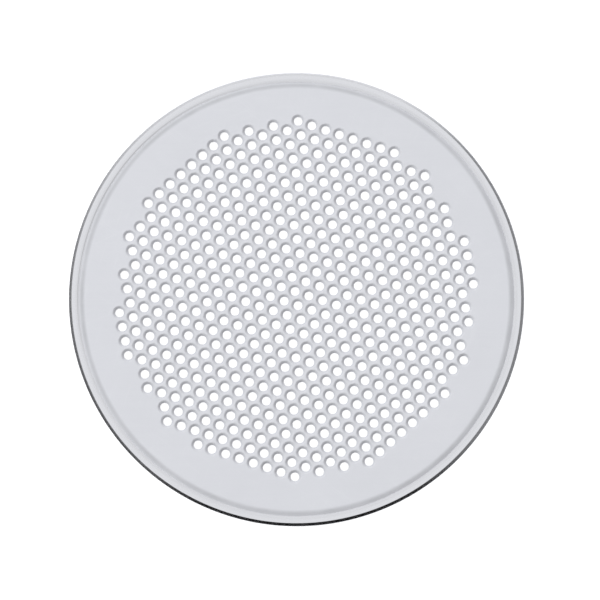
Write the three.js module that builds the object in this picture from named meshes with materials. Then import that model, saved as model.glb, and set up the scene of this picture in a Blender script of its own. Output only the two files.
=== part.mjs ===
// Round pizza screen: a perforated aluminium plate gripped by a sheet rim that is rolled over a wire.
// Millimetres, +Z up, origin under the centre of the plate on the surface that the screen lies on.

import * as THREE from 'three';

// Rim: a bead pressed to a blunt nose outside, a lip on top of the plate's margin and a flange under it
const OUTER_DIAMETER = 320;
const RIM_SHEET = 0.5;
const CROWN_RADIUS = 5.4;
const NOSE_RADIUS = 0.8;
const LIP_REACH = 7.2;
const LIP_TAPER = 1.7;
const LIP_EDGE = 0.15;
const FLANGE_REACH = 8.2;
const FLANGE_FLAT = 1.6;
const FOOT_WIDTH = 1.5;

// Wire inside the rolled edge
const WIRE_DIAMETER = 2.8;
const WIRE_CLEARANCE = 0.3;

// Plate: its field is pressed up from the margin, so that the rim lies flush with it
const PLATE_THICKNESS = 1;
const PLATE_EDGE_CLEARANCE = 0.3;
const STEP_DEPTH = 0.5;
const STEP_WIDTH = 4;

// Field of holes: a triangular pattern whose centre lies midway between two holes
const HOLE_DIAMETER = 6;
const WEB_WIDTH = 4.2;
const ROW_ANGLE = -18.3;
const PITCHES_TO_EDGE = 12.3;
const LEAST_PLAIN_MARGIN = 3;

// Facets: round pieces share one number of sides, and the holes near the edge of the field have fewer
const RING_SIDES = 40;
const CROWN_STEPS = 2;
const NOSE_STEPS = 2;
const NOSE_INSIDE_STEPS = 1;
const WIRE_SIDES = 6;
const HOLE_SIDES = 5;
const EDGE_HOLE_SIDES = 4;
const EDGE_HOLES_FROM = 9.2;

// Sizes that follow from the ones above
const outerRadius = OUTER_DIAMETER / 2;
const beadHeight = WIRE_DIAMETER + 2 * WIRE_CLEARANCE + 2 * RIM_SHEET;
const noseTurn = Math.acos((CROWN_RADIUS - beadHeight / 2) / (CROWN_RADIUS - NOSE_RADIUS));
const beadReach = (CROWN_RADIUS - NOSE_RADIUS) * Math.sin(noseTurn) + NOSE_RADIUS;
const beadCentre = new THREE.Vector2(outerRadius - beadReach, beadHeight / 2);
const lipRadius = outerRadius - LIP_REACH;
const flangeRadius = outerRadius - FLANGE_REACH;
const footRadius = beadCentre.x - FOOT_WIDTH;
const marginTop = beadHeight - RIM_SHEET;
const marginUnderside = marginTop - PLATE_THICKNESS;
const fieldTop = marginTop + STEP_DEPTH;
const fieldUnderside = fieldTop - PLATE_THICKNESS;
const stepRadius = lipRadius - STEP_WIDTH;
const plateRadius = beadCentre.x - WIRE_DIAMETER / 2 - PLATE_EDGE_CLEARANCE;
const holePitch = HOLE_DIAMETER + WEB_WIDTH;

const aluminiumPlate = new THREE.MeshStandardMaterial({ color: 0xd8dadf, roughness: 0.38, metalness: 1 });
const aluminiumRim = new THREE.MeshStandardMaterial({ color: 0xdcdee3, roughness: 0.24, metalness: 1 });
const steelWire = new THREE.MeshStandardMaterial({ color: 0x9a9c9f, roughness: 0.45, metalness: 1 });

// Points of a round stretch of a section, with angles from straight out, anticlockwise
function arc(centre, radius, fromAngle, toAngle, steps) {
  const points = [];
  for (let step = 0; step <= steps; step += 1) {
    const angle = fromAngle + ((toAngle - fromAngle) * step) / steps;
    points.push(
      new THREE.Vector2(centre.x + radius * Math.cos(angle), centre.y + radius * Math.sin(angle)),
    );
  }
  return points;
}

// Skin of the bead from its lowest line round the nose to its highest, set in by a depth
function beadSkin(depth, noseSteps) {
  const down = -Math.PI / 2;
  const up = Math.PI / 2;
  const lowCentre = new THREE.Vector2(beadCentre.x, CROWN_RADIUS);
  const noseCentre = new THREE.Vector2(outerRadius - NOSE_RADIUS, beadCentre.y);
  const highCentre = new THREE.Vector2(beadCentre.x, beadHeight - CROWN_RADIUS);
  const low = arc(lowCentre, CROWN_RADIUS - depth, down, down + noseTurn, CROWN_STEPS);
  const nose = arc(noseCentre, NOSE_RADIUS - depth, down + noseTurn, up - noseTurn, noseSteps);
  const high = arc(highCentre, CROWN_RADIUS - depth, up - noseTurn, up, CROWN_STEPS);
  return [...low, ...nose.slice(1, -1), ...high];
}

// A closed section, given anticlockwise as radius and height, turned about the upright axis
function revolve(section) {
  const profile = [...section, section[0].clone()];
  const geometry = new THREE.LatheGeometry(profile, RING_SIDES);
  geometry.rotateX(Math.PI / 2);
  return geometry;
}

// Corner points of a round outline; every outline starts where the revolved pieces have a corner
function roundOutline(radius, sides, centre = new THREE.Vector2()) {
  const points = [];
  for (let corner = 0; corner < sides; corner += 1) {
    const angle = (2 * Math.PI * corner) / sides - Math.PI / 2;
    points.push(
      new THREE.Vector2(
        centre.x + radius * Math.cos(angle),
        centre.y + radius * Math.sin(angle),
      ),
    );
  }
  return points;
}

// Centres of the holes, out to the edge of the field and clear of the step
function holeCentres() {
  const alongRow = new THREE.Vector2(holePitch, 0);
  alongRow.rotateAround(new THREE.Vector2(), THREE.MathUtils.degToRad(ROW_ANGLE));
  const acrossRows = alongRow.clone();
  acrossRows.rotateAround(new THREE.Vector2(), THREE.MathUtils.degToRad(-60));
  const clearRadius = stepRadius - LEAST_PLAIN_MARGIN - HOLE_DIAMETER / 2;
  const reach = Math.min(PITCHES_TO_EDGE * holePitch, clearRadius);
  const most = Math.ceil((2 * reach) / holePitch);
  const centres = [];
  for (let row = -most; row <= most; row += 1) {
    for (let place = -most; place <= most; place += 1) {
      const centre = new THREE.Vector2();
      centre.addScaledVector(alongRow, place);
      centre.addScaledVector(acrossRows, row + 0.5);
      if (centre.length() <= reach) {
        centres.push(centre);
      }
    }
  }
  return centres;
}

// Faceted outline of a hole that is as open as the round one
function holeOutline(centre) {
  const nearEdge = centre.length() > EDGE_HOLES_FROM * holePitch;
  const sides = nearEdge ? EDGE_HOLE_SIDES : HOLE_SIDES;
  const openShare = (sides * Math.sin((2 * Math.PI) / sides)) / (2 * Math.PI);
  const cornerRadius = HOLE_DIAMETER / 2 / Math.sqrt(openShare);
  return roundOutline(cornerRadius, sides, centre);
}

// Band of faces between two outlines with as many corners, each at its own height
function addBand(skin, first, firstHeight, second, secondHeight) {
  for (let corner = 0; corner < first.length; corner += 1) {
    const next = (corner + 1) % first.length;
    const a = [first[corner].x, first[corner].y, firstHeight];
    const b = [second[corner].x, second[corner].y, secondHeight];
    const c = [second[next].x, second[next].y, secondHeight];
    const d = [first[next].x, first[next].y, firstHeight];
    skin.push(...a, ...b, ...c, ...a, ...c, ...d);
  }
}

// Level faces of the field at its top and its underside, open at the holes
function addField(skin, outline, holes) {
  const corners = [outline, ...holes].flat();
  for (const face of THREE.ShapeUtils.triangulateShape(outline, holes)) {
    const points = face.map((index) => corners[index]);
    skin.push(...points.flatMap((point) => [point.x, point.y, fieldTop]));
    points.reverse();
    skin.push(...points.flatMap((point) => [point.x, point.y, fieldUnderside]));
  }
}

// Disc with the field of holes; its margin is a step lower and lies between the lip and the flange
function makePlate() {
  const outline = roundOutline(stepRadius, RING_SIDES);
  const holes = holeCentres().map(holeOutline);
  const skin = [];
  addField(skin, outline, holes);
  for (const hole of holes) {
    addBand(skin, hole, fieldUnderside, hole, fieldTop);
  }
  const lipLine = roundOutline(lipRadius, RING_SIDES);
  const edge = roundOutline(plateRadius, RING_SIDES);
  addBand(skin, outline, fieldTop, lipLine, marginTop);
  addBand(skin, lipLine, marginTop, edge, marginTop);
  addBand(skin, edge, marginTop, edge, marginUnderside);
  addBand(skin, edge, marginUnderside, lipLine, marginUnderside);
  addBand(skin, lipLine, marginUnderside, outline, fieldUnderside);
  const geometry = new THREE.BufferGeometry();
  geometry.setAttribute('position', new THREE.Float32BufferAttribute(skin, 3));
  geometry.computeVertexNormals();
  const plate = new THREE.Mesh(geometry, aluminiumPlate);
  plate.name = 'perforated_plate';
  return plate;
}

// Sheet ring: flange under the plate, foot, bead round the wire, and a tapered lip on the plate
function makeRim() {
  const bendRadius = flangeRadius + FLANGE_FLAT;
  const slope = new THREE.Vector2(footRadius - bendRadius, marginUnderside - RIM_SHEET);
  const insideShift = (RIM_SHEET * (slope.length() - slope.x)) / slope.y;
  const section = [
    new THREE.Vector2(flangeRadius, marginUnderside - RIM_SHEET),
    new THREE.Vector2(bendRadius, marginUnderside - RIM_SHEET),
    new THREE.Vector2(footRadius, 0),
    ...beadSkin(0, NOSE_STEPS),
    new THREE.Vector2(lipRadius + LIP_TAPER, beadHeight),
    new THREE.Vector2(lipRadius, marginTop + LIP_EDGE),
    new THREE.Vector2(lipRadius, marginTop),
    ...beadSkin(RIM_SHEET, NOSE_INSIDE_STEPS).reverse(),
    new THREE.Vector2(footRadius + insideShift, RIM_SHEET),
    new THREE.Vector2(bendRadius + insideShift, marginUnderside),
    new THREE.Vector2(flangeRadius, marginUnderside),
  ];
  const rim = new THREE.Mesh(revolve(section), aluminiumRim);
  rim.name = 'rim_ring';
  return rim;
}

// Round wire that stiffens the rolled edge
function makeWire() {
  const section = arc(beadCentre, WIRE_DIAMETER / 2, 0, 2 * Math.PI, WIRE_SIDES);
  section.pop();
  const wire = new THREE.Mesh(revolve(section), steelWire);
  wire.name = 'rim_wire';
  return wire;
}

const pizzaScreen = new THREE.Group();
pizzaScreen.name = 'pizza_screen';
pizzaScreen.add(makePlate(), makeRim(), makeWire());

export default pizzaScreen;
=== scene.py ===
import math

import bmesh
import bpy
from bpy.props import FloatProperty, FloatVectorProperty, IntProperty, PointerProperty
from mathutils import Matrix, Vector


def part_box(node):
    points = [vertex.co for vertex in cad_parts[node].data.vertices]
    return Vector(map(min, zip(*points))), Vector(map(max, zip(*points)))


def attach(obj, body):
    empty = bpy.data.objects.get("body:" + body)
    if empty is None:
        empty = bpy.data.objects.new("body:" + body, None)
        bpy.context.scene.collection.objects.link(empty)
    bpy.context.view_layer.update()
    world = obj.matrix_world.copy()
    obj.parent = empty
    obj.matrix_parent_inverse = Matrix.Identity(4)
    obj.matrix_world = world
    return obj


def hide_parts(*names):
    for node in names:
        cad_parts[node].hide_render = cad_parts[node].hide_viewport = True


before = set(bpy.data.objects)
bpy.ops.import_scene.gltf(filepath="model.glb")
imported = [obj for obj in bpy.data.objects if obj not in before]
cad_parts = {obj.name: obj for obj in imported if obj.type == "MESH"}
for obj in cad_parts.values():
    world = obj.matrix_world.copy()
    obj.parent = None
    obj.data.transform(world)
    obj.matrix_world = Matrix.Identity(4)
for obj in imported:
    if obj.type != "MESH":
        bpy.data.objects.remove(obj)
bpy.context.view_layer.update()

bl_info = {
    "name": "Pizza Screen",
    "version": (1, 0, 0),
    "blender": (4, 5, 0),
    "location": "3D View > Sidebar > Pizza Screen",
    "description": "Makes the plate, rim and wire of a round pizza screen, and its studio",
    "category": "Object",
}

RIM_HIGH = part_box("rim_ring")[1]
PLATE_LOW, PLATE_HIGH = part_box("perforated_plate")
WIRE_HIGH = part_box("rim_wire")[1]
BODY = "root"
MM = 0.001
# Faces that meet at more than this keep a crisp edge
CRISP_ANGLE = math.radians(30)
# Turn from one direction of rows to the next in a triangular pattern
TRIANGLE_TURN = math.radians(60)
# Level ring round the bend of a hole's lip, which keeps the shading of the field flat
LIP_GUARD = 0.1 * MM
# Facets along the bends and slopes of the sections
LIP_BEND_STEPS = 2
LIP_ROUNDING_STEPS = 2
MARGIN_STEPS = 8
RIM_BEND_STEPS = 4
RIM_OUTSIDE_STEPS = 8
RIM_INSIDE_STEPS = 4
WIRE_SIDES = 16
# Power by which the margin's slope gets steeper towards the rim
SINKING_POWER = 3
# Layers of finer detail in the noises
GRAIN_DETAIL = 3
LINE_DETAIL = 2
SCRATCH_DETAIL = 0
CREASE_DETAIL = 3
# Directions of the sparse scratches, and the noise levels between which they fade in
SCRATCH_TURNS = (0.65, 1.9, 2.75)
SCRATCH_LEVELS = (0.2, 0.3)
# Patches of the painted shade along the crease to a metre
CREASE_PATCHES = 60
# Grey of the floor
FLOOR_GREY = 0.9
# The floor is lifted to white for rays that were turned fewer times than this
GLOW_DEPTH = 2


class PlateSizes(bpy.types.PropertyGroup):
    """Sizes of the perforated plate"""

    radius: FloatProperty(
        name="Radius",
        description="Radius of the disc, whose edge is hidden in the rim",
        default=PLATE_HIGH.x,
        unit="LENGTH",
    )
    field_top: FloatProperty(
        name="Field top",
        description="Height of the baking face",
        default=PLATE_HIGH.z,
        unit="LENGTH",
    )
    margin_underside: FloatProperty(
        name="Margin underside",
        description="Height of the gripped margin's underside, on the flange of the rim",
        default=PLATE_LOW.z,
        unit="LENGTH",
    )
    thickness: FloatProperty(
        name="Thickness",
        description="Thickness of the sheet",
        default=1 * MM,
        unit="LENGTH",
    )
    step_width: FloatProperty(
        name="Step width",
        description="Width of the soft step between the field and the gripped margin",
        default=4 * MM,
        unit="LENGTH",
    )
    hole_diameter: FloatProperty(
        name="Hole diameter",
        description="Width of a hole at its narrowest",
        default=6 * MM,
        unit="LENGTH",
    )
    web_width: FloatProperty(
        name="Web width",
        description="Metal between two neighbouring holes",
        default=4.2 * MM,
        unit="LENGTH",
    )
    lip_width: FloatProperty(
        name="Lip width",
        description="How far around a hole the punch has drawn the metal down",
        default=1.85 * MM,
        unit="LENGTH",
    )
    lip_tilt: FloatProperty(
        name="Lip tilt",
        description="Slope of the drawn metal around a hole",
        default=math.radians(24.2),
        subtype="ANGLE",
    )
    lip_edge: FloatProperty(
        name="Lip edge",
        description="Thickness of the drawn metal at the edge of a hole",
        default=0.6 * MM,
        unit="LENGTH",
    )
    lip_bend: FloatProperty(
        name="Lip bend",
        description="Rounding where the level plate bends down into a lip",
        default=0.3 * MM,
        unit="LENGTH",
    )
    lip_rounding: FloatProperty(
        name="Lip rounding",
        description="Rounding of a lip's edge at the hole",
        default=0.2 * MM,
        unit="LENGTH",
    )
    row_angle: FloatProperty(
        name="Row angle",
        description="Direction of the rows of holes",
        default=math.radians(-18.3),
        subtype="ANGLE",
    )
    pitches_to_edge: FloatProperty(
        name="Pitches to the edge",
        description="Reach of the field of holes from its centre, in hole pitches",
        default=12.3,
    )
    hole_sides: IntProperty(
        name="Hole sides",
        description="Facets round a hole",
        default=18,
    )
    edge_sides: IntProperty(
        name="Edge sides",
        description="Facets round the plate",
        default=240,
    )


class RimSizes(bpy.types.PropertyGroup):
    """Sizes of the rolled rim and the wire inside it"""

    outer_radius: FloatProperty(
        name="Outer radius",
        description="Radius of the whole screen",
        default=RIM_HIGH.x,
        unit="LENGTH",
    )
    height: FloatProperty(
        name="Height",
        description="Height of the rim, which is the height of its bead",
        default=RIM_HIGH.z,
        unit="LENGTH",
    )
    sheet: FloatProperty(
        name="Sheet",
        description="Thickness of the rim's sheet",
        default=0.5 * MM,
        unit="LENGTH",
    )
    shoulder_radius: FloatProperty(
        name="Shoulder radius",
        description="Rounding between the level top or foot of the bead and its sloping side",
        default=0.8 * MM,
        unit="LENGTH",
    )
    side_slope: FloatProperty(
        name="Side slope",
        description="Slope of the bead's sides towards its nose",
        default=math.radians(38.7),
        subtype="ANGLE",
    )
    nose_radius: FloatProperty(
        name="Nose radius",
        description="Rounding of the bead's blunt nose at the outer edge",
        default=0.71 * MM,
        unit="LENGTH",
    )
    lip_reach: FloatProperty(
        name="Lip reach",
        description="From the outer edge in to the lip on the plate",
        default=7.2 * MM,
        unit="LENGTH",
    )
    lip_taper: FloatProperty(
        name="Lip taper",
        description="Width over which the lip thins out towards its edge",
        default=1.7 * MM,
        unit="LENGTH",
    )
    lip_edge: FloatProperty(
        name="Lip edge",
        description="Thickness of the lip at its edge",
        default=0.15 * MM,
        unit="LENGTH",
    )
    flange_reach: FloatProperty(
        name="Flange reach",
        description="From the outer edge in to the tip of the flange under the plate",
        default=8.2 * MM,
        unit="LENGTH",
    )
    flange_flat: FloatProperty(
        name="Flange flat",
        description="Width of the flange's level part",
        default=1.6 * MM,
        unit="LENGTH",
    )
    foot_width: FloatProperty(
        name="Foot width",
        description="Width of the level foot that the screen lies on",
        default=1.5 * MM,
        unit="LENGTH",
    )
    bend_radius: FloatProperty(
        name="Bend radius",
        description="Rounding of the bends between flange and foot",
        default=0.8 * MM,
        unit="LENGTH",
    )
    wire_outer_radius: FloatProperty(
        name="Wire outer radius",
        description="Radius of the wire ring at its outside",
        default=WIRE_HIGH.x,
        unit="LENGTH",
    )
    wire_radius: FloatProperty(
        name="Wire radius",
        description="Half the thickness of the wire",
        default=1.4 * MM,
        unit="LENGTH",
    )
    sides: IntProperty(
        name="Sides",
        description="Facets round the rim",
        default=240,
    )


class FinishColours(bpy.types.PropertyGroup):
    """Colours, gloss and fine marks of the metals"""

    plate_colour: FloatVectorProperty(
        name="Plate colour",
        description="Satin aluminium of the plate",
        default=(0.811, 0.822, 0.864),
        subtype="COLOR",
        min=0,
        max=1,
    )
    plate_roughness: FloatProperty(
        name="Plate roughness",
        description="Softness of the plate's reflections",
        default=0.573,
        min=0,
        max=1,
    )
    plate_grain: FloatProperty(
        name="Plate grain",
        description="Size of the plate's grain",
        default=0.7 * MM,
        unit="LENGTH",
    )
    # Plate crease and its depth: painted shade, a darker line in the plate's colour along the
    # rim's lip
    plate_crease: FloatProperty(
        name="Plate crease",
        description="Radius of the dull line on the plate along the rim's lip",
        default=150.7 * MM,
        unit="LENGTH",
    )
    plate_dullness: FloatProperty(
        name="Plate dullness",
        description="How much darker the dull line on the plate is",
        default=0.195,
    )
    rim_colour: FloatVectorProperty(
        name="Rim colour",
        description="Smoother aluminium of the rim",
        default=(0.7, 0.708, 0.741),
        subtype="COLOR",
        min=0,
        max=1,
    )
    rim_roughness: FloatProperty(
        name="Rim roughness",
        description="Softness of the rim's reflections",
        default=0.185,
        min=0,
        max=1,
    )
    rim_grain: FloatProperty(
        name="Rim grain",
        description="Size of the rim's grain",
        default=1.4 * MM,
        unit="LENGTH",
    )
    # Rim crease and its depth: painted shade, a darker line in the rim's colour along its lip
    rim_crease: FloatProperty(
        name="Rim crease",
        description="Radius of the dull line on the rim's lip",
        default=153.4 * MM,
        unit="LENGTH",
    )
    rim_dullness: FloatProperty(
        name="Rim dullness",
        description="How much darker the dull line on the rim's lip is",
        default=0.08,
    )
    wire_colour: FloatVectorProperty(
        name="Wire colour",
        description="Drawn steel of the wire",
        default=(0.42, 0.42, 0.43),
        subtype="COLOR",
        min=0,
        max=1,
    )
    wire_roughness: FloatProperty(
        name="Wire roughness",
        description="Softness of the wire's reflections",
        default=0.4,
        min=0,
        max=1,
    )
    wire_grain: FloatProperty(
        name="Wire grain",
        description="Size of the wire's grain",
        default=0.4 * MM,
        unit="LENGTH",
    )
    grain_spread: FloatProperty(
        name="Grain spread",
        description="How far the gloss changes with the grain",
        default=0.06,
    )
    grain_height: FloatProperty(
        name="Grain height",
        description="Height of the grain",
        default=0.004 * MM,
        unit="LENGTH",
    )
    line_width: FloatProperty(
        name="Line width",
        description="Width of the fine lines that rolling leaves",
        default=0.25 * MM,
        unit="LENGTH",
    )
    line_length: FloatProperty(
        name="Line length",
        description="Length of the fine lines that rolling leaves",
        default=25 * MM,
        unit="LENGTH",
    )
    line_spread: FloatProperty(
        name="Line spread",
        description="How far the gloss changes with the fine lines",
        default=0.12,
    )
    scratch_width: FloatProperty(
        name="Scratch width",
        description="Width of the sparse scratches of use",
        default=0.5 * MM,
        unit="LENGTH",
    )
    scratch_length: FloatProperty(
        name="Scratch length",
        description="Length of the sparse scratches of use",
        default=30 * MM,
        unit="LENGTH",
    )
    scratch_polish: FloatProperty(
        name="Scratch polish",
        description="How much smoother the metal is in a scratch",
        default=0.08,
    )
    cloud_size: FloatProperty(
        name="Cloud size",
        description="Size of the faint clouds of tone",
        default=70 * MM,
        unit="LENGTH",
    )
    cloud_depth: FloatProperty(
        name="Cloud depth",
        description="How much darker the clouds of tone are",
        default=0.05,
    )
    # Half the width of the painted shade along the rim's lip
    crease_width: FloatProperty(
        name="Crease width",
        description="Half the width of the dull line along the rim's lip",
        default=2.7 * MM,
        unit="LENGTH",
    )


class StageSizes(bpy.types.PropertyGroup):
    """Camera, light and floor"""

    camera_distance: FloatProperty(
        name="Camera distance",
        description="From the camera to the screen",
        default=3.5,
        unit="LENGTH",
    )
    camera_tilt: FloatProperty(
        name="Camera tilt",
        description="How far the camera leans from straight overhead towards the viewer",
        default=math.radians(5),
        subtype="ANGLE",
    )
    picture_width: FloatProperty(
        name="Picture width",
        description="Width that the picture covers at the screen",
        default=421.5 * MM,
        unit="LENGTH",
    )
    aim: FloatVectorProperty(
        name="Aim",
        description="Point of the screen at the middle of the picture",
        default=(2.45 * MM, -0.75 * MM, 0),
        subtype="TRANSLATION",
    )
    floor_width: FloatProperty(
        name="Floor width",
        description="Width of the pale floor",
        default=30,
        unit="LENGTH",
    )
    floor_glow: FloatProperty(
        name="Floor glow",
        description="How far the floor is lifted to white where it is seen",
        default=0.75,
    )
    key_power: FloatProperty(
        name="Key power",
        description="Power of the soft light at the upper left, in watts",
        default=0.6,
    )
    key_size: FloatProperty(
        name="Key size",
        description="Width of the soft light",
        default=2,
        unit="LENGTH",
    )
    key_place: FloatVectorProperty(
        name="Key place",
        description="Where the soft light hangs",
        default=(-0.8, 1.0, 1.5),
        subtype="TRANSLATION",
    )
    sky_light: FloatProperty(
        name="Sky light",
        description="Brightness of the open sky",
        default=1.02,
    )
    near_card: FloatVectorProperty(
        name="Near card",
        description="Direction of the middle of the card on the viewer's side",
        default=(0.052, -0.991, -0.120),
        subtype="DIRECTION",
    )
    near_card_reach: FloatProperty(
        name="Near card reach",
        description="Angle from the middle of the near card to its edge",
        default=math.radians(48.5),
        subtype="ANGLE",
    )
    near_card_shade: FloatProperty(
        name="Near card shade",
        description="Share of the sky's brightness that the near card has",
        default=0.024,
    )
    right_card: FloatVectorProperty(
        name="Right card",
        description="Direction square to the edge of the card on the right",
        default=(0.735, -0.459, -0.497),
        subtype="DIRECTION",
    )
    right_card_shade: FloatProperty(
        name="Right card shade",
        description="Share of the sky's brightness that the right card has",
        default=0.27,
    )
    low_card: FloatVectorProperty(
        name="Low card",
        description="Direction square to the edge of the low card on the left",
        default=(-0.284, -0.238, -0.929),
        subtype="DIRECTION",
    )
    low_card_shade: FloatProperty(
        name="Low card shade",
        description="Share of the sky's brightness that the low card has",
        default=0.049,
    )
    far_card: FloatVectorProperty(
        name="Far card",
        description="Direction square to the edge of the pale card on the far side",
        default=(-0.166, 0.621, -0.766),
        subtype="DIRECTION",
    )
    far_card_shade: FloatProperty(
        name="Far card shade",
        description="Share of the sky's brightness that the far card has",
        default=0.87,
    )
    flat_card_reach: FloatProperty(
        name="Flat card reach",
        description="Angle that the right, the low and the far card take up from their middle",
        default=math.radians(90),
        subtype="ANGLE",
    )
    card_softness: FloatProperty(
        name="Card softness",
        description="Angle over which the edge of a card fades into the sky",
        default=math.radians(25),
        subtype="ANGLE",
    )


def arc(centre, radius, start, stop, steps):
    """Points of a round stretch of a section, as distance from the axis and height"""
    points = []
    for step in range(steps + 1):
        angle = start + (stop - start) * step / steps
        points.append((centre[0] + radius * math.cos(angle), centre[1] + radius * math.sin(angle)))
    return points


def soft_step(start, stop, steps):
    """Points of a section that leaves one level and reaches another without a corner"""
    points = []
    for step in range(steps + 1):
        share = step / steps
        eased = (1 - math.cos(math.pi * share)) / 2
        points.append((
            start[0] + (stop[0] - start[0]) * share,
            start[1] + (stop[1] - start[1]) * eased,
        ))
    return points


def sinking_step(start, stop, steps):
    """Points of a slope that starts level and gets steeper"""
    points = []
    for step in range(steps + 1):
        share = step / steps
        points.append((
            start[0] + (stop[0] - start[0]) * share,
            start[1] + (stop[1] - start[1]) * share ** SINKING_POWER,
        ))
    return points


def rounded_corner(before, corner, after, radius, steps):
    """Points of a bend between two straight stretches of a section"""
    corner = Vector(corner)
    inward = (Vector(before) - corner).normalized()
    outward = (Vector(after) - corner).normalized()
    half = inward.angle(outward) / 2
    centre = corner + (inward + outward).normalized() * radius / math.sin(half)
    first = corner + inward * radius / math.tan(half) - centre
    last = corner + outward * radius / math.tan(half) - centre
    start = math.atan2(first.y, first.x)
    turn = math.remainder(math.atan2(last.y, last.x) - start, 2 * math.pi)
    return arc(centre, radius, start, start + turn, steps)


def ring(bm, centre, radius, height, sides):
    """Vertices of a level circle"""
    turn = 2 * math.pi / sides
    return [
        bm.verts.new((
            centre[0] + radius * math.cos(turn * side),
            centre[1] + radius * math.sin(turn * side),
            height,
        ))
        for side in range(sides)
    ]


def join_rings(bm, first, second):
    """Faces between two circles with as many vertices"""
    count = len(first)
    for side in range(count):
        following = (side + 1) % count
        bm.faces.new((first[side], first[following], second[following], second[side]))


def loop_edges(bm, vertices):
    """Edges of a closed loop of vertices"""
    edges = []
    for here, there in zip(vertices, vertices[1:] + vertices[:1]):
        edge = bm.edges.get((here, there))
        edges.append(edge or bm.edges.new((here, there)))
    return edges


def piece(context, bm, name, node, material):
    """Turns the mesh into a finished piece that stands for a node of the frame"""
    bmesh.ops.recalc_face_normals(bm, faces=bm.faces[:])
    mesh = bpy.data.meshes.new(name)
    bm.to_mesh(mesh)
    bm.free()
    mesh.shade_smooth()
    mesh.set_sharp_from_angle(angle=CRISP_ANGLE)
    mesh.materials.append(material)
    made = bpy.data.objects.new(name, mesh)
    context.scene.collection.objects.link(made)
    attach(made, BODY)
    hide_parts(node)


def revolved(section, sides):
    """Closed section turned about the upright axis"""
    bm = bmesh.new()
    rings = [ring(bm, (0, 0), radius, height, sides) for radius, height in section]
    for first, second in zip(rings, rings[1:] + rings[:1]):
        join_rings(bm, first, second)
    return bm


def hole_centres(plate):
    """Triangular pattern of holes whose centre lies midway between two of them"""
    pitch = plate.hole_diameter + plate.web_width
    along = Vector((math.cos(plate.row_angle), math.sin(plate.row_angle))) * pitch
    next_angle = plate.row_angle - TRIANGLE_TURN
    across = Vector((math.cos(next_angle), math.sin(next_angle))) * pitch
    reach = plate.pitches_to_edge * pitch
    most = math.ceil(2 * plate.pitches_to_edge)
    sites = [
        along * place + across * (row + 0.5)
        for row in range(-most, most + 1)
        for place in range(-most, most + 1)
    ]
    return [site for site in sites if site.length <= reach]


def hole_section(plate):
    """Section of a hole's edge: bent down into a lip, rounded to the hole, back underneath"""
    hole_radius = plate.hole_diameter / 2
    underside = plate.field_top - plate.thickness
    bend = (hole_radius + plate.lip_width, plate.field_top)
    level = (bend[0] + LIP_GUARD, plate.field_top)
    corner = (hole_radius, plate.field_top - plate.lip_width * math.tan(plate.lip_tilt))
    foot = (hole_radius, corner[1] - plate.lip_edge)
    section = [level]
    section += rounded_corner(level, bend, corner, plate.lip_bend, LIP_BEND_STEPS)
    section += rounded_corner(bend, corner, foot, plate.lip_rounding, LIP_ROUNDING_STEPS)
    section += [foot, (level[0], underside)]
    return section


def margin_section(plate, lip):
    """Section of the plain margin: level, down the soft step to the lip, back underneath"""
    pitch = plate.hole_diameter + plate.web_width
    field_edge = plate.pitches_to_edge * pitch + plate.hole_diameter
    step_start = lip - plate.step_width
    field_top = plate.field_top
    field_underside = field_top - plate.thickness
    margin_underside = plate.margin_underside
    margin_top = margin_underside + plate.thickness
    top = sinking_step((step_start, field_top), (lip, margin_top), MARGIN_STEPS)
    under = sinking_step((step_start, field_underside), (lip, margin_underside), MARGIN_STEPS)
    section = [(field_edge, field_top), *top]
    section += [(plate.radius, margin_top), (plate.radius, margin_underside)]
    section += [*reversed(under), (field_edge, field_underside)]
    return section


def perforated_disc(plate, lip):
    """Disc with its field of drawn holes and its stepped margin"""
    bm = bmesh.new()
    section = hole_section(plate)
    top_edges = []
    under_edges = []
    for centre in hole_centres(plate):
        rings = [ring(bm, centre, radius, height, plate.hole_sides) for radius, height in section]
        for first, second in zip(rings, rings[1:]):
            join_rings(bm, first, second)
        top_edges += loop_edges(bm, rings[0])
        under_edges += loop_edges(bm, rings[-1])
    margin = margin_section(plate, lip)
    rings = [ring(bm, (0, 0), radius, height, plate.edge_sides) for radius, height in margin]
    for first, second in zip(rings, rings[1:]):
        join_rings(bm, first, second)
    top_edges += loop_edges(bm, rings[0])
    under_edges += loop_edges(bm, rings[-1])
    bmesh.ops.triangle_fill(bm, edges=top_edges, use_beauty=True, normal=(0, 0, 1))
    bmesh.ops.triangle_fill(bm, edges=under_edges, use_beauty=True, normal=(0, 0, -1))
    return bm


def lip_radius(rim):
    """Radius of the edge of the rim's lip on the plate"""
    return rim.outer_radius - rim.lip_reach


def bead_centre(rim):
    """Middle of the wire in the bead, as distance from the axis and height"""
    return rim.wire_outer_radius - rim.wire_radius, rim.height / 2


def bead_skin(rim, depth, steps):
    """Skin of the bead from its foot round the nose to its top, set in by a depth"""
    down = -math.pi / 2
    up = math.pi / 2
    slope = rim.side_slope
    half = rim.height / 2
    shoulder = rim.shoulder_radius
    fall = half - shoulder * (1 - math.cos(slope)) - rim.nose_radius * math.cos(slope)
    nose_centre = rim.outer_radius - rim.nose_radius
    side_end = nose_centre + rim.nose_radius * math.sin(slope)
    shoulder_centre = side_end - fall / math.tan(slope) - shoulder * math.sin(slope)
    low_centre = (shoulder_centre, shoulder)
    high_centre = (shoulder_centre, rim.height - shoulder)
    low = arc(low_centre, shoulder - depth, down, down + slope, steps)
    nose = arc((nose_centre, half), rim.nose_radius - depth, down + slope, up - slope, steps)
    high = arc(high_centre, shoulder - depth, up - slope, up, steps)
    return low + nose + high


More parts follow.
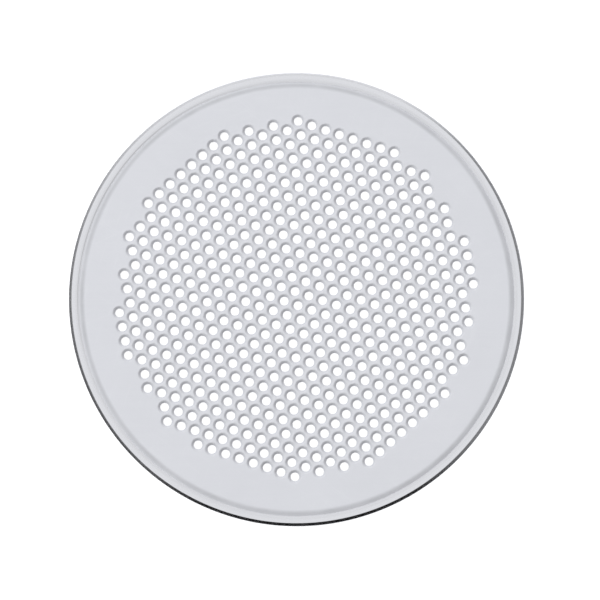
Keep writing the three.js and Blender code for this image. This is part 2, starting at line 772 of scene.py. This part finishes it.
def rim_section(rim, margin_underside):
    """Section of the rim: flange under the plate, foot, bead, and a tapered lip on the plate"""
    sheet = rim.sheet
    bead = bead_centre(rim)
    lip = lip_radius(rim)
    margin_top = rim.height - sheet
    tip = rim.outer_radius - rim.flange_reach
    bend = (tip + rim.flange_flat, margin_underside - sheet)
    foot = (bead[0] - rim.foot_width, 0)
    run = foot[0] - bend[0]
    rise = margin_underside - sheet
    shift = sheet * (math.hypot(run, rise) - run) / rise
    inner_bend = (bend[0] + shift, margin_underside)
    inner_foot = (foot[0] + shift, sheet)
    flange_under = (tip, margin_underside - sheet)
    flange_top = (tip, margin_underside)
    taper = (lip + rim.lip_taper, rim.height)
    lip_top = (lip, margin_top + rim.lip_edge)
    radius = rim.bend_radius
    outside = [flange_under]
    outside += rounded_corner(flange_under, bend, foot, radius, RIM_BEND_STEPS)
    outside += rounded_corner(bend, foot, (bead[0], 0), radius, RIM_BEND_STEPS)
    outside += bead_skin(rim, 0, RIM_OUTSIDE_STEPS)
    outside += soft_step(taper, lip_top, RIM_OUTSIDE_STEPS)
    inside = [(lip, margin_top)]
    inside += reversed(bead_skin(rim, sheet, RIM_INSIDE_STEPS))
    inside += rounded_corner((bead[0], sheet), inner_foot, inner_bend, radius, RIM_BEND_STEPS)
    inside += rounded_corner(inner_foot, inner_bend, flange_top, radius, RIM_BEND_STEPS)
    inside += [flange_top]
    return outside + inside


def wire_section(rim):
    """Round section of the wire in the middle of the bead"""
    return arc(bead_centre(rim), rim.wire_radius, 0, 2 * math.pi, WIRE_SIDES)[:-1]


def new_group(name, inputs, output):
    """Group of number sockets: its tree, its inputs, its output and the place on a piece"""
    group = bpy.data.node_groups.new(name, "ShaderNodeTree")
    sockets = group.interface
    for label, value in inputs.items():
        socket = sockets.new_socket(name=label, in_out="INPUT", socket_type="NodeSocketFloat")
        socket.default_value = value
    sockets.new_socket(name=output, in_out="OUTPUT", socket_type="NodeSocketFloat")
    entry = group.nodes.new("NodeGroupInput").outputs
    leave = group.nodes.new("NodeGroupOutput").inputs[output]
    place = group.nodes.new("ShaderNodeTexCoord").outputs["Object"]
    return group, entry, leave, place


def feed(links, socket, value):
    """Gives a socket another socket's value or a plain one"""
    if isinstance(value, bpy.types.NodeSocket):
        links.new(value, socket)
    else:
        socket.default_value = value


def math_node(nodes, links, operation, *values):
    """Math node fed by sockets or plain numbers"""
    node = nodes.new("ShaderNodeMath")
    node.operation = operation
    for socket, value in zip(node.inputs, values):
        feed(links, socket, value)
    return node.outputs["Value"]


def vector_node(nodes, links, operation, *values):
    """Vector math node fed by sockets or plain vectors"""
    node = nodes.new("ShaderNodeVectorMath")
    node.operation = operation
    for socket, value in zip(node.inputs, values):
        feed(links, socket, value)
    return node


def noise_node(nodes, links, vector, scale, detail):
    """Noise around its middle, from -0.5 to 0.5"""
    noise = nodes.new("ShaderNodeTexNoise")
    noise.inputs["Detail"].default_value = detail
    feed(links, noise.inputs["Vector"], vector)
    feed(links, noise.inputs["Scale"], scale)
    return math_node(nodes, links, "SUBTRACT", noise.outputs["Fac"], 0.5)


def faded(nodes, links, value, start, stop, low=0):
    """Value that is low up to the start and 1 from the stop on"""
    ramp = nodes.new("ShaderNodeMapRange")
    ramp.interpolation_type = "SMOOTHSTEP"
    feed(links, ramp.inputs["Value"], value)
    feed(links, ramp.inputs["From Min"], start)
    feed(links, ramp.inputs["From Max"], stop)
    feed(links, ramp.inputs["To Min"], low)
    return ramp.outputs["Result"]


def axis_distance(nodes, links, place):
    """Distance of a place from the upright axis"""
    flat = vector_node(nodes, links, "MULTIPLY", place, (1, 1, 0)).outputs["Vector"]
    return vector_node(nodes, links, "LENGTH", flat).outputs["Value"]


def surface_noise_group():
    """Even noise over the metal: small for grain, large for clouds of tone"""
    group, entry, leave, place = new_group("surface_noise", {"Size": MM}, "Noise")
    nodes = group.nodes
    links = group.links
    scale = math_node(nodes, links, "DIVIDE", 1, entry["Size"])
    links.new(noise_node(nodes, links, place, scale, GRAIN_DETAIL), leave)
    return group


def fine_lines_group():
    """Fine lines that rolling leaves, straight on the plate and round the axis on the rim"""
    inputs = {"Width": MM, "Length": MM, "Round": 0}
    group, entry, leave, place = new_group("fine_lines", inputs, "Lines")
    nodes = group.nodes
    links = group.links
    parts = nodes.new("ShaderNodeSeparateXYZ")
    links.new(place, parts.inputs["Vector"])
    radius = axis_distance(nodes, links, place)
    away = math_node(nodes, links, "SUBTRACT", radius, parts.outputs["Y"])
    away = math_node(nodes, links, "MULTIPLY", away, entry["Round"])
    across = math_node(nodes, links, "ADD", parts.outputs["Y"], away)
    stretched = nodes.new("ShaderNodeCombineXYZ")
    sides = (
        ("X", parts.outputs["X"], "Length"),
        ("Y", across, "Width"),
        ("Z", parts.outputs["Z"], "Width"),
    )
    for label, value, size in sides:
        share = math_node(nodes, links, "DIVIDE", value, entry[size])
        links.new(share, stretched.inputs[label])
    links.new(noise_node(nodes, links, stretched.outputs["Vector"], 1, LINE_DETAIL), leave)
    return group


def sparse_scratches_group():
    """Sparse thin scratches of use, in a few directions"""
    inputs = {"Width": MM, "Length": MM}
    group, entry, leave, place = new_group("sparse_scratches", inputs, "Mask")
    nodes = group.nodes
    links = group.links
    stretch = nodes.new("ShaderNodeCombineXYZ")
    for label, size in (("X", "Length"), ("Y", "Width")):
        share = math_node(nodes, links, "DIVIDE", 1, entry[size])
        links.new(share, stretch.inputs[label])
    mask = 0
    for turn in SCRATCH_TURNS:
        turned = nodes.new("ShaderNodeVectorRotate")
        turned.rotation_type = "Z_AXIS"
        turned.inputs["Angle"].default_value = turn
        links.new(place, turned.inputs["Vector"])
        sides = (turned.outputs["Vector"], stretch.outputs["Vector"])
        stretched = vector_node(nodes, links, "MULTIPLY", *sides).outputs["Vector"]
        noise = noise_node(nodes, links, stretched, 1, SCRATCH_DETAIL)
        scratch = faded(nodes, links, noise, *SCRATCH_LEVELS)
        mask = math_node(nodes, links, "MAXIMUM", scratch, mask)
    links.new(mask, leave)
    return group


def crease_shade_group():
    """Painted shade: a darker line, in uneven patches, along the rim's lip"""
    inputs = {"Radius": MM, "Width": MM}
    group, entry, leave, place = new_group("crease_shade", inputs, "Mask")
    nodes = group.nodes
    links = group.links
    radius = axis_distance(nodes, links, place)
    away = math_node(nodes, links, "SUBTRACT", radius, entry["Radius"])
    away = math_node(nodes, links, "ABSOLUTE", away)
    clear = faded(nodes, links, away, 0, entry["Width"])
    shaded = math_node(nodes, links, "SUBTRACT", 1, clear)
    patches = noise_node(nodes, links, place, CREASE_PATCHES, CREASE_DETAIL)
    patches = math_node(nodes, links, "ADD", patches, 1)
    links.new(math_node(nodes, links, "MULTIPLY", shaded, patches), leave)
    return group


def group_node(nodes, make, **inputs):
    """Node of a shared group, which is made the first time"""
    name = make.__name__.removesuffix("_group")
    node = nodes.new("ShaderNodeGroup")
    node.node_tree = bpy.data.node_groups.get(name) or make()
    for label, value in inputs.items():
        node.inputs[label].default_value = value
    return node.outputs[0]


def metal(name, finish, colour, roughness, grain, round_lines, crease_shade=0, shade_depth=0):
    """Bare metal with grain, lines of rolling, scratches, clouds of tone and painted shade along a
    crease
    """
    material = bpy.data.materials.new(name)
    material.use_nodes = True
    nodes = material.node_tree.nodes
    links = material.node_tree.links
    shader = nodes["Principled BSDF"]
    shader.inputs["Metallic"].default_value = 1
    grains = group_node(nodes, surface_noise_group, Size=grain)
    clouds = group_node(nodes, surface_noise_group, Size=finish.cloud_size)
    lines = group_node(
        nodes,
        fine_lines_group,
        Width=finish.line_width,
        Length=finish.line_length,
        Round=round_lines,
    )
    scratches = group_node(
        nodes,
        sparse_scratches_group,
        Width=finish.scratch_width,
        Length=finish.scratch_length,
    )
    rough = math_node(nodes, links, "MULTIPLY_ADD", grains, finish.grain_spread, roughness)
    rough = math_node(nodes, links, "MULTIPLY_ADD", lines, finish.line_spread, rough)
    rough = math_node(nodes, links, "MULTIPLY_ADD", scratches, -finish.scratch_polish, rough)
    links.new(rough, shader.inputs["Roughness"])
    tone = math_node(nodes, links, "MULTIPLY_ADD", clouds, finish.cloud_depth, 1)
    if shade_depth:
        # Painted shade: the colour is darkened along the crease by the shade depth
        shaded = group_node(nodes, crease_shade_group, Radius=crease_shade, Width=finish.crease_width)
        kept = math_node(nodes, links, "MULTIPLY_ADD", shaded, -shade_depth, 1)
        tone = math_node(nodes, links, "MULTIPLY", tone, kept)
    shade = vector_node(nodes, links, "SCALE", tuple(colour))
    links.new(tone, shade.inputs["Scale"])
    links.new(shade.outputs["Vector"], shader.inputs["Base Color"])
    bump = nodes.new("ShaderNodeBump")
    bump.inputs["Distance"].default_value = finish.grain_height
    links.new(grains, bump.inputs["Height"])
    links.new(bump.outputs["Normal"], shader.inputs["Normal"])
    return material


def floor_material(stage):
    """White floor that keeps the shadow of the screen; from below it is clear"""
    material = bpy.data.materials.new("white_floor")
    material.use_nodes = True
    nodes = material.node_tree.nodes
    links = material.node_tree.links
    shader = nodes["Principled BSDF"]
    shader.inputs["Base Color"].default_value = (FLOOR_GREY, FLOOR_GREY, FLOOR_GREY, 1)
    shader.inputs["Roughness"].default_value = 1
    shader.inputs["Specular IOR Level"].default_value = 0
    shader.inputs["Emission Color"].default_value = (1, 1, 1, 1)
    path = nodes.new("ShaderNodeLightPath").outputs
    seen = math_node(nodes, links, "MAXIMUM", path["Is Camera Ray"], path["Is Glossy Ray"])
    seen = math_node(nodes, links, "MAXIMUM", seen, path["Is Transmission Ray"])
    direct = math_node(nodes, links, "LESS_THAN", path["Ray Depth"], GLOW_DEPTH)
    glow = math_node(nodes, links, "MULTIPLY", seen, direct)
    glow = math_node(nodes, links, "MULTIPLY", glow, stage.floor_glow)
    below = nodes.new("ShaderNodeNewGeometry").outputs["Backfacing"]
    above = math_node(nodes, links, "SUBTRACT", 1, below)
    links.new(math_node(nodes, links, "MULTIPLY", glow, above), shader.inputs["Emission Strength"])
    links.new(above, shader.inputs["Alpha"])
    return material


def beside_card(nodes, links, direction, card, reach, softness, shade):
    """Brightness of the sky with a card in it: its shade on the card, 1 beside it"""
    middle = Vector(card).normalized()
    lean = vector_node(nodes, links, "DOT_PRODUCT", direction, middle).outputs["Value"]
    angle = math_node(nodes, links, "ARCCOSINE", lean)
    return faded(nodes, links, angle, reach - softness / 2, reach + softness / 2, shade)


def studio_world(world, stage):
    """Even white sky with darker cards, which the rolled edge and the hole lips reflect"""
    world.use_nodes = True
    nodes = world.node_tree.nodes
    links = world.node_tree.links
    direction = nodes.new("ShaderNodeTexCoord").outputs["Generated"]
    cards = (
        (stage.near_card, stage.near_card_reach, stage.near_card_shade),
        (stage.right_card, stage.flat_card_reach, stage.right_card_shade),
        (stage.low_card, stage.flat_card_reach, stage.low_card_shade),
        (stage.far_card, stage.flat_card_reach, stage.far_card_shade),
    )
    light = stage.sky_light
    for card, reach, shade in cards:
        beside = beside_card(nodes, links, direction, card, reach, stage.card_softness, shade)
        light = math_node(nodes, links, "MULTIPLY", beside, light)
    links.new(light, nodes["Background"].inputs["Color"])


def look_at(thing, target):
    """Turns a camera or a lamp towards a point"""
    thing.rotation_euler = (Vector(target) - thing.location).to_track_quat("-Z", "Y").to_euler()


class PIZZASCREEN_OT_plate(bpy.types.Operator):
    """Make the perforated plate"""

    bl_idname = "pizza_screen.plate"
    bl_label = "Plate"

    def execute(self, context):
        finish = context.scene.screen_finish
        material = metal(
            "plate_satin",
            finish,
            finish.plate_colour,
            finish.plate_roughness,
            finish.plate_grain,
            round_lines=0,
            # Painted shade along the rim's lip on the plate
            crease_shade=finish.plate_crease,
            shade_depth=finish.plate_dullness,
        )
        bm = perforated_disc(context.scene.screen_plate, lip_radius(context.scene.screen_rim))
        piece(context, bm, "vented_plate", "perforated_plate", material)
        return {"FINISHED"}


class PIZZASCREEN_OT_rim(bpy.types.Operator):
    """Make the rolled rim that grips the plate"""

    bl_idname = "pizza_screen.rim"
    bl_label = "Rim"

    def execute(self, context):
        finish = context.scene.screen_finish
        rim = context.scene.screen_rim
        material = metal(
            "rim_smooth",
            finish,
            finish.rim_colour,
            finish.rim_roughness,
            finish.rim_grain,
            round_lines=1,
            # Painted shade along the rim's lip
            crease_shade=finish.rim_crease,
            shade_depth=finish.rim_dullness,
        )
        bm = revolved(rim_section(rim, context.scene.screen_plate.margin_underside), rim.sides)
        piece(context, bm, "rolled_rim", "rim_ring", material)
        return {"FINISHED"}


class PIZZASCREEN_OT_wire(bpy.types.Operator):
    """Make the wire inside the rolled rim"""

    bl_idname = "pizza_screen.wire"
    bl_label = "Wire"

    def execute(self, context):
        finish = context.scene.screen_finish
        rim = context.scene.screen_rim
        material = metal(
            "wire_drawn",
            finish,
            finish.wire_colour,
            finish.wire_roughness,
            finish.wire_grain,
            round_lines=1,
        )
        bm = revolved(wire_section(rim), rim.sides)
        piece(context, bm, "edge_wire", "rim_wire", material)
        return {"FINISHED"}


class PIZZASCREEN_OT_stage(bpy.types.Operator):
    """Set the floor, the light and the camera"""

    bl_idname = "pizza_screen.stage"
    bl_label = "Stage"

    def execute(self, context):
        scene = context.scene
        stage = scene.screen_stage
        scene.view_settings.view_transform = "Standard"
        half = stage.floor_width / 2
        mesh = bpy.data.meshes.new("floor")
        corners = [(-half, -half, 0), (half, -half, 0), (half, half, 0), (-half, half, 0)]
        # Three faces that meet at the far side: no edge of theirs runs under the screen
        far_middle = (0, half, 0)
        mesh.from_pydata([*corners, far_middle], [], [(0, 1, 4), (1, 2, 4), (0, 4, 3)])
        mesh.materials.append(floor_material(stage))
        floor = bpy.data.objects.new("floor", mesh)
        scene.collection.objects.link(floor)
        scene.world = bpy.data.worlds.new("studio")
        studio_world(scene.world, stage)
        lamp = bpy.data.lights.new("key", "AREA")
        lamp.energy = stage.key_power
        lamp.size = stage.key_size
        key = bpy.data.objects.new("key", lamp)
        key.location = stage.key_place
        look_at(key, (0, 0, 0))
        scene.collection.objects.link(key)
        view = bpy.data.cameras.new("camera")
        camera = bpy.data.objects.new("camera", view)
        aim = Vector(stage.aim)
        back = Vector((0, -math.sin(stage.camera_tilt), math.cos(stage.camera_tilt)))
        camera.location = aim + back * stage.camera_distance
        look_at(camera, aim)
        view.lens = view.sensor_width * stage.camera_distance / stage.picture_width
        scene.collection.objects.link(camera)
        scene.camera = camera
        return {"FINISHED"}


class PIZZASCREEN_PT_panel(bpy.types.Panel):
    """Lists the pieces of the pizza screen"""

    bl_idname = "PIZZASCREEN_PT_panel"
    bl_label = "Pizza Screen"
    bl_space_type = "VIEW_3D"
    bl_region_type = "UI"
    bl_category = "Pizza Screen"

    def draw(self, context):
        for operator in OPERATORS:
            self.layout.operator(operator.bl_idname)


OPERATORS = (
    PIZZASCREEN_OT_plate,
    PIZZASCREEN_OT_rim,
    PIZZASCREEN_OT_wire,
    PIZZASCREEN_OT_stage,
)
SETTINGS = {
    "screen_plate": PlateSizes,
    "screen_rim": RimSizes,
    "screen_finish": FinishColours,
    "screen_stage": StageSizes,
}


def register():
    for group in SETTINGS.values():
        bpy.utils.register_class(group)
    for name, group in SETTINGS.items():
        setattr(bpy.types.Scene, name, PointerProperty(type=group))
    for operator in OPERATORS:
        bpy.utils.register_class(operator)
    bpy.utils.register_class(PIZZASCREEN_PT_panel)


def unregister():
    bpy.utils.unregister_class(PIZZASCREEN_PT_panel)
    for operator in reversed(OPERATORS):
        bpy.utils.unregister_class(operator)
    for name in SETTINGS:
        delattr(bpy.types.Scene, name)
    for group in SETTINGS.values():
        bpy.utils.unregister_class(group)


def main():
    register()
    bpy.ops.pizza_screen.plate()
    bpy.ops.pizza_screen.rim()
    bpy.ops.pizza_screen.wire()
    bpy.ops.pizza_screen.stage()


if __name__ == "__main__":
    main()
